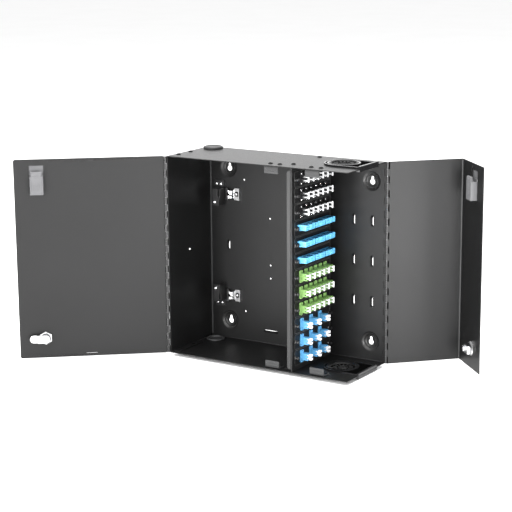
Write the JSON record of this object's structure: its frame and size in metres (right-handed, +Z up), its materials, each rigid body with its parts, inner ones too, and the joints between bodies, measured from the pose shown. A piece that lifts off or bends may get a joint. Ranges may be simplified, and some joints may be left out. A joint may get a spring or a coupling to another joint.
{
  "type": "fiber termination box",
  "caption": "Wall-mount steel cabinet with two piano-hinged doors, slide latches, cam locks, an adapter bulkhead, sliding cable entries and cable clamps.",
  "frame": {"origin": "centre of the back panel's rear face", "axes": "+X to the viewer's right, +Y to the wall, +Z up; the doors are on the -Y side"},
  "size_m": [0.7908, 0.4274, 0.3916],
  "materials": {
    "powder_coat": "fine-textured matte black powder coat on folded steel",
    "strike_grey": "satin grey coated steel",
    "black_rubber": "matte black rubber",
    "black_plastic": "satin black moulded plastic",
    "grey_plastic": "satin dark grey moulded plastic",
    "blue_plastic": "smooth sky-blue moulded plastic",
    "white_plastic": "white moulded dust caps of the visual model",
    "green_plastic": "smooth lime-green moulded plastic",
    "bright_metal": "bright nickel and zinc plate",
    "lock_metal": "satin die-cast metal"
  },
  "bodies": {
    "enclosure": {"chassis_shell": "powder_coat", "left_side_panel": "powder_coat", "bulkhead": "powder_coat", "strike_top_left": "strike_grey", "strike_top_right": "strike_grey", "strike_bottom_left": "strike_grey", "strike_bottom_right": "strike_grey", "plug_top_left": "black_rubber", "plug_bottom_left": "black_rubber", "cable_clamp_upper": "bright_metal", "cable_clamp_lower": "bright_metal", "clamp_bracket_upper": "powder_coat", "clamp_bracket_lower": "powder_coat", "adapter_panel_01": "black_plastic", "adapter_panel_02": "black_plastic", "adapter_panel_03": "black_plastic", "adapter_panel_04": "blue_plastic", "adapter_panel_05": "blue_plastic", "adapter_panel_06": "blue_plastic", "adapter_panel_07": "green_plastic", "adapter_panel_08": "green_plastic", "adapter_panel_09": "green_plastic", "adapter_panel_10": "blue_plastic", "adapter_panel_11": "blue_plastic", "adapter_panel_12": "blue_plastic", "left_hinge_frame_leaf": "powder_coat", "left_hinge_pin": "bright_metal", "right_hinge_frame_leaf": "powder_coat", "right_hinge_pin": "bright_metal"},
    "left_door_leaf": {"left_door": "powder_coat", "left_hinge_door_leaf": "powder_coat", "left_latch_housing": "grey_plastic", "left_lock_barrel": "lock_metal", "left_lock_nut": "bright_metal"},
    "left_latch": {"left_latch_slider": "grey_plastic"},
    "left_lock": {"left_lock_plug": "bright_metal", "left_lock_cam": "bright_metal", "left_lock_cam_nut": "bright_metal"},
    "right_door_leaf": {"right_door": "powder_coat", "right_hinge_door_leaf": "powder_coat", "right_latch_housing": "grey_plastic", "right_lock_barrel": "lock_metal", "right_lock_nut": "bright_metal"},
    "right_latch": {"right_latch_slider": "grey_plastic"},
    "right_lock": {"right_lock_plug": "bright_metal", "right_lock_cam": "bright_metal", "right_lock_cam_nut": "bright_metal"},
    "top_entry": {"top_entry_frame": "black_plastic", "top_entry_membrane": "black_rubber"},
    "bottom_entry": {"bottom_entry_frame": "black_plastic", "bottom_entry_membrane": "black_rubber"}
  },
  "joints": [
    {"name": "left_door_hinge", "type": "hinge", "parent": "enclosure", "child": "left_door_leaf", "pos_m": [-0.1965, -0.1466, 0], "axis": [0, 0, -1], "range_deg": [-140.3, 39.7]},
    {"name": "right_door_hinge", "type": "hinge", "parent": "enclosure", "child": "right_door_leaf", "pos_m": [0.1965, -0.002, 0], "axis": [0, 0, 1], "range_deg": [-134.8, 45.2]},
    {"name": "left_latch_slide", "type": "slide", "parent": "left_door_leaf", "child": "left_latch", "axis": [0, 0, 1], "range_m": [0, 0.009]},
    {"name": "right_latch_slide", "type": "slide", "parent": "right_door_leaf", "child": "right_latch", "axis": [0, 0, 1], "range_m": [0, 0.009]},
    {"name": "left_lock_turn", "type": "hinge", "parent": "left_door_leaf", "child": "left_lock", "pos_m": [-0.37699, -0.29475, -0.152], "axis": [0.6388, -0.7694, 0], "range_deg": [0, 90]},
    {"name": "right_lock_turn", "type": "hinge", "parent": "right_door_leaf", "child": "right_lock", "pos_m": [0.34618, 0.05433, -0.152], "axis": [0.7096, 0.7046, 0], "range_deg": [0, 90]},
    {"name": "top_entry_slide", "type": "slide", "parent": "enclosure", "child": "top_entry", "axis": [1, 0, 0], "range_m": [0, 0.045]},
    {"name": "bottom_entry_slide", "type": "slide", "parent": "enclosure", "child": "bottom_entry", "axis": [1, 0, 0], "range_m": [0, 0.045]}
  ]
}
